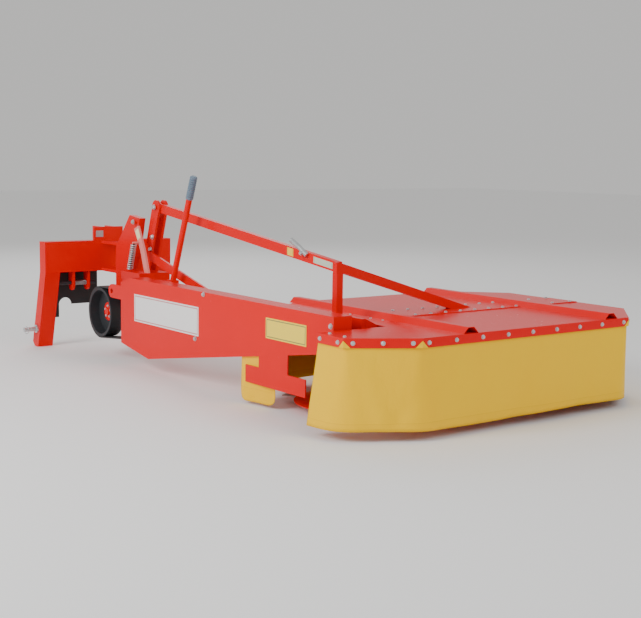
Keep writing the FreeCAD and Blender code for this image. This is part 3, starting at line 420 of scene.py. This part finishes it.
def tube(name, points, radius, body, material, sides=8, closed=False):
    """A round wire or bar along points."""
    curve = bpy.data.curves.new(name, "CURVE")
    curve.dimensions = "3D"
    curve.bevel_depth = radius
    curve.bevel_resolution = max(1, sides // 4)
    curve.use_fill_caps = True
    line = curve.splines.new("POLY")
    line.points.add(len(points) - 1)
    for knot, place in zip(line.points, points):
        knot.co = (*place, 1)
    line.use_cyclic_u = closed
    line.use_smooth = True
    item = bpy.data.objects.new(name, curve)
    bpy.context.scene.collection.objects.link(item)
    curve.materials.append(material)
    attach(item, body)
    return item


def coil(start, end, radius, turns, steps=14):
    """Points of a helix between two places."""
    direction = (end - start).normalized()
    basis = direction.to_track_quat("Z", "Y").to_matrix()
    total = int(turns * steps)
    length = (end - start).length
    return [start + direction * (length * i / total) + basis @ Vector((
        radius * math.cos(2 * math.pi * i / steps), radius * math.sin(2 * math.pi * i / steps), 0))
        for i in range(total + 1)]


def panel(name, corners, thick, body, material):
    """A flat plate from four corners, thickened to its right-hand side."""
    def make(work):
        front = [work.verts.new(c) for c in corners]
        normal = (corners[1] - corners[0]).cross(corners[2] - corners[1]).normalized()
        back = [work.verts.new(c - normal * thick) for c in corners]
        count = len(corners)
        work.faces.new(front)
        work.faces.new(list(reversed(back)))
        for i in range(count):
            work.faces.new([front[i], back[i], back[(i + 1) % count], front[(i + 1) % count]])
    return piece(name, make, body, material, smooth=False)


# ---- curtain ----

def curtain_path():
    """Corners of the curtain's top edge in plan, from its free edge at the left round to the arm."""
    tuck, notch_tuck = 0.0095, 0.006
    left, right = cover_left + tuck, cover_right - tuck
    back, front = cover_back + tuck, cover_front - tuck
    return [
        Vector((left, notch_back)), Vector((left, cover_back + rear_left_cut.y)),
        Vector((cover_left + rear_left_cut.x, back)), Vector((cover_right - right_cut.x, back)),
        Vector((right, cover_back + right_cut.y)), Vector((right, cover_front - right_cut.y)),
        Vector((cover_right - right_cut.x, front)), Vector((notch_left + front_left_cut.x, front)),
        Vector((notch_left + notch_tuck, cover_front - front_left_cut.y - tuck)),
    ]


def walk(path, distance):
    """The point a distance along a path, carried straight on past its ends."""
    spans = list(zip(path, path[1:]))
    for i, (a, b) in enumerate(spans):
        length = (b - a).length
        if distance <= length or i == len(spans) - 1:
            return a + (b - a) * (distance / length)
        distance -= length


def softened(path, distance, reach):
    """A path point averaged over a reach each way, which rounds the corners."""
    shares = 9
    total = sum((b - a).length for a, b in zip(path, path[1:]))
    reach = min(reach, distance, total - distance) if 0 < distance < total else 0.0
    points = [walk(path, distance + reach * (2 * i / (shares - 1) - 1)) for i in range(shares)]
    return sum(points, Vector((0, 0))) / shares


def thicken(item):
    """Gives a cloth its thickness, half to each side."""
    thick = item.modifiers.new("cloth_thickness", "SOLIDIFY")
    thick.thickness = cloth_wall
    thick.offset = 0.0


def corner_gussets(centre):
    """Small cloth triangles that show where the turned-down edge is cut open at each corner."""
    stand_off, wide = 0.0016, 0.030
    foot, peak = cover_top - flange_drop, cover_top - flange_drop * 0.25
    outline = [Vector((cover_left, cover_back + rear_left_cut.y)),
               Vector((cover_left + rear_left_cut.x, cover_back)),
               Vector((cover_right - right_cut.x, cover_back)),
               Vector((cover_right, cover_back + right_cut.y)),
               Vector((cover_right, cover_front - right_cut.y)),
               Vector((cover_right - right_cut.x, cover_front))]
    ends = [Vector((cover_left, notch_back))] + outline + [Vector((notch_left + front_left_cut.x,
                                                                   cover_front))]
    made = []
    for i, corner in enumerate(outline):
        out = (corner - centre).normalized() * stand_off
        back = (ends[i] - corner).normalized() * wide
        on = (ends[i + 2] - corner).normalized() * wide

        def make(work, corner=corner, out=out, back=back, on=on):
            spots = [(corner + back, foot), (corner, foot), (corner + on, foot), (corner, peak)]
            for side in (0, 1):
                spots_now = [Vector((*(spot + out * (1 - 0.6 * side)), height))
                             for spot, height in spots]
                verts = [work.verts.new(spot) for spot in spots_now]
                work.faces.new((verts[0], verts[1], verts[3]))
                work.faces.new((verts[1], verts[2], verts[3]))
        made.append(piece("corner_gusset_%d" % i, make, "arm", cloth, smooth=False))
    return made


def hang_curtain():
    """One cloth hung round the cover, rounding the corners and flaring at its free edge."""
    path = curtain_path()
    total = sum((b - a).length for a, b in zip(path, path[1:]))
    columns, rows = 420, 22
    least_reach, added_reach, step = 0.010, 0.055, 0.02
    top = cover_top - 0.004
    bottom = low("curtain_main").z
    centre = Vector(((cover_left + cover_right) / 2, (cover_back + cover_front) / 2))
    phases = [chance.uniform(0, 2 * math.pi) for _ in range(5)]

    def make(work):
        grid = []
        for i in range(columns + 1):
            distance = total * i / columns
            column = []
            for j in range(rows + 1):
                drop = j / rows
                free = max(0.0, drop - 0.10) / 0.90
                reach = least_reach + added_reach * free
                place = softened(path, distance, reach)
                ahead = softened(path, min(total, distance + step), reach)
                behind = softened(path, max(0.0, distance - step), reach)
                along = (ahead - behind).normalized()
                outward = Vector((along.y, -along.x))
                if outward.dot(place - centre) < 0:
                    outward = -outward
                wave = (math.sin(distance * 9.0 + phases[0] + drop * 0.8) * 0.40
                        + math.sin(distance * 16.7 + phases[1] - drop * 1.1) * 0.26
                        + math.sin(distance * 31.0 + phases[2]) * 0.12 * drop)
                swing = 0.010 * wave * free ** 1.3 + 0.010 * free
                swing += 0.044 * free ** 1.1 * math.exp(-(distance / 0.26) ** 2)
                crease = abs(distance - 0.20 - 0.16 * drop) / 0.045
                swing += 0.010 * free * math.exp(-crease ** 2)
                second = abs(distance - 0.36 - 0.30 * (1 - drop)) / 0.050
                swing -= 0.007 * free * math.exp(-second ** 2)
                spot = place + outward * swing
                height = top + (bottom - top) * drop
                height += 0.004 * math.sin(distance * 5.3 + phases[3]) * drop
                column.append(work.verts.new((spot.x, spot.y, height)))
            grid.append(column)
        for a, b in zip(grid, grid[1:]):
            for j in range(rows):
                work.faces.new([a[j], b[j], b[j + 1], a[j + 1]])
    item = piece("curtain", make, "arm", cloth)
    thicken(item)
    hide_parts("curtain_main", "curtain_inner")
    corner_gussets(centre)
    return item


def hang_flap():
    """The short piece of curtain that hangs below the belt guard in front of the drum."""
    a, b = low("curtain_flap"), high("curtain_flap")
    columns, rows = 30, 26
    corner = 0.06

    def make(work):
        grid = []
        for i in range(columns + 1):
            u = i / columns
            column = []
            for j in range(rows + 1):
                drop = j / rows
                y = b.y + (a.y - b.y) * u
                edge = min(u, 1 - u) * (b.y - a.y)
                lift = corner - math.sqrt(max(0.0, corner ** 2 - (corner - min(edge, corner)) ** 2))
                bottom = a.z + lift * 0.8
                height = b.z + (bottom - b.z) * drop
                bow = (0.012 * math.sin(u * math.pi * 1.7 + 0.4) * drop
                       + 0.004 * math.sin(u * 11) * drop)
                column.append(work.verts.new((a.x + 0.003 - bow, y, height)))
            grid.append(column)
        for left, right in zip(grid, grid[1:]):
            for j in range(rows):
                work.faces.new([left[j], right[j], right[j + 1], left[j + 1]])
    item = piece("curtain_flap_cloth", make, "arm", cloth)
    thicken(item)
    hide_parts("curtain_flap")


hang_curtain()
hang_flap()


# ---- cover hardware ----

def cover_bolts():
    """Bolts through the turned-down edge, all round, and along the strips over the gear beam."""
    line = cover_top - flange_drop * 0.5
    edge = 0.035
    rear_a = Vector((cover_left + rear_left_cut.x + edge, cover_back, line))
    rear_b = Vector((cover_right - right_cut.x - edge, cover_back, line))
    bolts("rear_edge_bolts", evenly(rear_a, rear_b, 9), -Y, edge_bolt)
    left_a = Vector((cover_left, cover_back + rear_left_cut.y + edge, line))
    left_b = Vector((cover_left, notch_back - 0.025, line))
    bolts("left_edge_bolts", evenly(left_a, left_b, 2), -X, edge_bolt)
    slants = [
        (Vector((cover_left, cover_back + rear_left_cut.y, line)),
         Vector((cover_left + rear_left_cut.x, cover_back, line)), 3),
        (Vector((cover_right - right_cut.x, cover_back, line)),
         Vector((cover_right, cover_back + right_cut.y, line)), 3),
        (Vector((cover_right, cover_front - right_cut.y, line)),
         Vector((cover_right - right_cut.x, cover_front, line)), 3),
    ]
    for i, (a, b, count) in enumerate(slants):
        run = b - a
        out = Vector((run.y, -run.x, 0))
        mid = (a + b) / 2
        centre = Vector(((cover_left + cover_right) / 2, (cover_back + cover_front) / 2, line))
        if out.dot(mid - centre) < 0:
            out = -out
        bolts("slant_edge_bolts_%d" % i, evenly(a.lerp(b, 0.12), a.lerp(b, 0.88), count), out,
              edge_bolt)
    right_a = Vector((cover_right, cover_back + right_cut.y + edge, line))
    right_b = Vector((cover_right, cover_front - right_cut.y - edge, line))
    bolts("right_edge_bolts", evenly(right_a, right_b, 6), X, edge_bolt)
    front_a = Vector((cover_right - right_cut.x - edge, cover_front, line))
    front_b = Vector((notch_left + front_left_cut.x + edge, cover_front, line))
    bolts("front_edge_bolts", evenly(front_a, front_b, 7), Y, edge_bolt)

    strip_low, strip_high = low("beam_strips"), high("beam_strips")
    rib_high = high("cover_ribs")
    inset = 0.014
    tops = []
    for y in (strip_low.y + inset, strip_high.y - inset):
        tops += evenly(Vector((strip_low.x + 0.03, y, strip_high.z)),
                       Vector((rib_high.x - 0.10, y, strip_high.z)), 9)
        tops += evenly(Vector((rib_high.x + 0.03, y, strip_high.z)),
                       Vector((strip_high.x - 0.04, y, strip_high.z)), 3)
    bolts("strip_bolts", tops, Z, 0.008)
    beside = [Vector((notch_left + x, cover_back + y, cover_top))
              for x, y in ((0.048, 0.69), (0.110, 0.735), (0.108, 0.585), (0.110, 0.502))]
    bolts("rib_bolts", beside, Z, 0.0055)
    corner = [Vector((cover_left + 0.03, cover_back + rear_left_cut.y + d, cover_top))
              for d in (0.03, 0.13)]
    bolts("corner_bolts", corner, Z, 0.007)


cover_bolts()


# ---- belt guard ----

def guard_hardware():
    """Bolts and two blank signs on the guard's outer face."""
    face = guard_low.x
    top, rear = guard_high.z, guard_low.y
    spots = [Vector((face, rear + 1.041, top - 0.013)), Vector((face, rear + 1.118, top - 0.239)),
             Vector((face, rear + 0.018, top - 0.045))]
    bolts("guard_bolts", spots, -X, 0.0105)
    thick = 0.0014

    def sign(name, y1, y2, z1, z2, paper, ink, border):
        corners = [Vector((face - thick, y, z)) for y, z in ((y1, z1), (y2, z1), (y2, z2), (y1, z2))]
        material = printed(name + "_print", paper, ink, Vector((face, y1, z1)),
                           Vector((face, y2, z2)), border)
        panel(name, corners, -thick, "arm", material)
    sign("white_sign", rear + 1.088, rear + 1.748, top - 0.224, top - 0.080, (0.90, 0.89, 0.88),
         (0.62, 0.05, 0.05), 0.007)
    sign("yellow_notice", rear + 0.190, rear + 0.500, top - 0.155, top - 0.062, (1.0, 0.74, 0.02),
         (0.10, 0.09, 0.05), 0.006)


guard_hardware()


# ---- springs, grip and small hardware ----

def balance_spring():
    a, b = low("balance_spring"), high("balance_spring")
    axis = (a + b) / 2
    wire = 0.0036
    half = (b.x - a.x) / 2
    foot = Vector((axis.x, b.y - half, a.z + 0.008))
    head = Vector((axis.x, a.y + half, b.z - 0.004))
    knee = foot.lerp(head, 0.34)
    points = coil(foot, knee, half - wire, 4) + coil(knee, head, half * 0.80, 8)
    item = tube("balance_coil", points, wire, "arm", zinc)
    # A black rod inside the coil is painted shade: it darkens the gaps between the turns.
    tube("balance_coil_shade_core", [foot, head], half * 0.42, "arm", black)
    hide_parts("balance_spring")


def latch_spring():
    lug_low, lug_high = low("latch_lugs"), high("latch_lugs")
    bolt = middle("latch_bolt")
    inner = Vector((lug_low.x + 0.014, bolt.y, bolt.z))
    outer = Vector((lug_high.x - 0.014, bolt.y, bolt.z))
    tube("latch_coil", coil(inner, outer, 0.0145, 11), 0.0019, "hitch", bright)


def lever_grip():
    """Ribbed moulded grip on the hand lever."""
    a, b = low("lever_grip"), high("lever_grip")
    x = (a.x + b.x) / 2
    widest = (b.x - a.x) / 2
    top = Vector((x, a.y + widest * 0.9, b.z - 0.006))
    foot = Vector((x, b.y - widest * 0.9, a.z + 0.006))
    length = (top - foot).length
    ridge, groove = widest * 0.99, widest * 0.86
    outline = [(0.0, 0.0), (widest * 0.80, 0.0), (ridge * 0.98, 0.004)]
    ribs = 9
    for i in range(ribs):
        start = 0.010 + (length - 0.024) * i / ribs
        step = (length - 0.024) / ribs
        outline += [(ridge, start), (ridge, start + step * 0.55), (groove, start + step * 0.68),
                    (groove, start + step * 0.88)]
    outline += [(ridge, length - 0.012), (widest * 0.94, length - 0.004),
                (widest * 0.68, length), (0.0, length)]

    def make(work):
        lathe(work, foot, top - foot, outline, 28)
    item = piece("ribbed_grip", make, "arm", grip_blue)
    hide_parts("lever_grip")


def latch_handle():
    """Bent zinc handle that locks the folding brace."""
    a, b = low("brace_latch"), high("brace_latch")
    x = a.x + 0.004
    heel = Vector((x, a.y + 0.018, a.z + 0.018))
    knee = heel.lerp(Vector((x, b.y - 0.03, b.z - 0.02)), 0.55)
    tip = Vector((x, b.y - 0.012, b.z - 0.016))
    item = tube("brace_handle", [heel, heel.lerp(knee, 0.5), knee, knee.lerp(tip, 0.6), tip], 0.0125,
                "arm", zinc, 12)
    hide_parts("brace_latch")
    bolts("brace_handle_bolt", [Vector((x - 0.012, a.y + 0.05, a.z + 0.028))], -X, 0.010)


def frame_bolts():
    tower_low, tower_high = low("tower_plates"), high("tower_plates")
    side = tower_low.x + 0.008
    top_pin = Vector((side - 0.009, low("tower_plates").y + 0.039, tower_high.z - 0.039))
    bolts("tower_bolts", [top_pin,
                          Vector((side, tower_low.y + 0.075, tower_high.z - 0.205)),
                          Vector((side, tower_low.y + 0.098, tower_high.z - 0.275))], -X, 0.013)
    mast_low, mast_high = low("head_mast"), high("head_mast")
    bolts("mast_bolts", [Vector((mast_low.x, mast_low.y + 0.040, mast_high.z - 0.035))], -X, 0.012,
          "swing_head")
    pulley = low("drive_pulley")
    centre = middle("drive_pulley")
    places = []
    for i in range(5):
        angle = 2 * math.pi * i / 5 + 0.3
        places.append(Vector((pulley.x + 0.050, centre.y + 0.032 * math.cos(angle),
                              centre.z + 0.032 * math.sin(angle))))

    def hub(work):
        lathe(work, Vector((pulley.x + 0.056, centre.y, centre.z)), -X, [
            (0.0, 0.0), (0.052, 0.0), (0.052, 0.004), (0.048, 0.006), (0.022, 0.006), (0.019, 0.016),
            (0.0, 0.016)], 40)
    piece("pulley_hub", hub, "drive_pulley", red_paint)
    bolts("pulley_bolts", places, -X, 0.007, "drive_pulley")


def link_clips():
    """Spring rings through the ends of the hitch pins."""
    pins_low, pins_high = low("lower_link_pins"), high("lower_link_pins")
    y = (pins_low.y + pins_high.y) / 2
    z = (pins_low.z + pins_high.z) / 2
    for side, x, sign in (("left", pins_low.x, 1), ("right", pins_high.x, -1)):
        centre = Vector((x + sign * 0.012, y, z))
        ring = [centre + Vector((0.010 * sign * (1 - math.cos(t)) * 0.5, 0.021 * math.cos(t) + 0.004,
                                 0.021 * math.sin(t) - 0.006))
                for t in (2 * math.pi * i / 28 for i in range(28))]
        tube("clip_ring_" + side, ring, 0.0017, "hitch", bright, closed=True)


balance_spring()
latch_spring()
lever_grip()
latch_handle()
frame_bolts()
link_clips()


# ---- blank plates and stickers ----

def stickers():
    strap_low, strap_high = low("lift_strap"), high("lift_strap")
    strap_wall = 0.012
    run = Vector((0, 0.493, 0.870))
    across = Vector((0, 0.870, -0.493))
    centre = Vector((strap_high.x - strap_wall - 0.0002, strap_high.y - 0.0437,
                     strap_high.z - 0.0466))
    corners = [centre - run * 0.028 - across * 0.019, centre - run * 0.028 + across * 0.019,
               centre + run * 0.028 + across * 0.019, centre + run * 0.028 - across * 0.019]
    material = printed("strap_print", (0.93, 0.86, 0.45), (0.4, 0.35, 0.1), strap_low, strap_high,
                       0.004)
    panel("strap_sticker", corners, -label_thick, "arm", material)
    bracket_low, bracket_high = low("top_link_bracket"), high("top_link_bracket")
    back = bracket_low.y
    z1, z2 = bracket_high.z - 0.060, bracket_high.z - 0.022
    x1, x2 = bracket_low.x + 0.012, bracket_low.x + 0.060
    corners = [Vector((x1, back - label_lift, z1)), Vector((x2, back - label_lift, z1)),
               Vector((x2, back - label_lift, z2)), Vector((x1, back - label_lift, z2))]
    panel("blank_nameplate", corners, -label_thick, "hitch", bright)
    bar_low, bar_high = low("brace_front_bar"), high("brace_front_bar")
    span = bar_high - bar_low
    bar_height = 0.048
    rise = (span.z - bar_height) / span.y

    def on_bar(name, y1, y2, low_share, high_share, paper, ink):
        def corner(y, share):
            height = bar_low.z + rise * (y - bar_low.y) + bar_height * share
            return Vector((bar_low.x - label_lift, y, height))
        corners = [corner(y1, low_share), corner(y2, low_share), corner(y2, high_share),
                   corner(y1, high_share)]
        material = printed(name + "_print", paper, ink, Vector((0, y1, bar_low.z)),
                           Vector((0, y2, bar_high.z)), 0.004)
        panel(name, corners, -label_thick, "arm", material)
    on_bar("brace_label", bar_low.y + 0.030, bar_low.y + 0.175, 0.2, 0.8, (0.60, 0.72, 0.55),
           (0.10, 0.35, 0.12))
    on_bar("brace_dot", bar_low.y + 0.335, bar_low.y + 0.385, 0.12, 0.88, (1.0, 0.74, 0.05),
           (0.4, 0.3, 0.05))


stickers()


# ---- stage, light and camera ----

def stage():
    bpy.ops.mesh.primitive_plane_add(size=60, location=(0, 0, 0))
    floor = bpy.context.object
    floor.name = "floor"
    f = Finish("pale_floor")
    material = f.surface((0.93, 0.93, 0.93), 0.85 + f.noise(3.0) * 0.05, 0.0)
    floor.data.materials.append(material)
    world = bpy.data.worlds.new("pale_sky")
    bpy.context.scene.world = world
    world.use_nodes = True
    world.node_tree.nodes["Background"].inputs["Color"].default_value = (1.0, 0.99, 0.97, 1)
    world.node_tree.nodes["Background"].inputs["Strength"].default_value = 0.62

    def soft_light(name, place, aim, size, power):
        light = bpy.data.lights.new(name, "AREA")
        light.shape = "SQUARE"
        light.size = size
        light.energy = power
        item = bpy.data.objects.new(name, light)
        bpy.context.scene.collection.objects.link(item)
        item.location = place
        item.rotation_euler = (aim - place).to_track_quat("-Z", "Y").to_euler()
    aim = Vector((0, 0, 0.3))
    soft_light("key", Vector((-6, -0.6, 3.6)), aim, 2.6, 270)
    soft_light("fill", Vector((1, -6, 4)), aim, 3.0, 80)
    soft_light("rim", Vector((2, 6, 5)), aim, 5.0, 130)


def camera():
    """View from behind and to the left, from a little above the cover, tilted down."""
    corner = Vector((cover_left, cover_back, 0))
    place = corner + Vector((-2.909, -3.596, 1.136))
    yaw, pitch, roll = (math.radians(v) for v in (36.61, 7.14, 0.81))
    ahead = Vector((math.sin(yaw) * math.cos(pitch), math.cos(yaw) * math.cos(pitch),
                    -math.sin(pitch)))
    across = Vector((math.cos(yaw), -math.sin(yaw), 0))
    upward = across.cross(ahead)
    right = across * math.cos(roll) + upward * math.sin(roll)
    up = right.cross(ahead)
    sensor, focal_length = 36, 67.9563
    lens = bpy.data.cameras.new("camera")
    lens.sensor_width = sensor
    lens.lens = focal_length
    item = bpy.data.objects.new("camera", lens)
    bpy.context.scene.collection.objects.link(item)
    turn = Matrix((right, up, -ahead)).transposed().to_4x4()
    item.matrix_world = Matrix.Translation(place) @ turn
    bpy.context.scene.camera = item


stage()
camera()
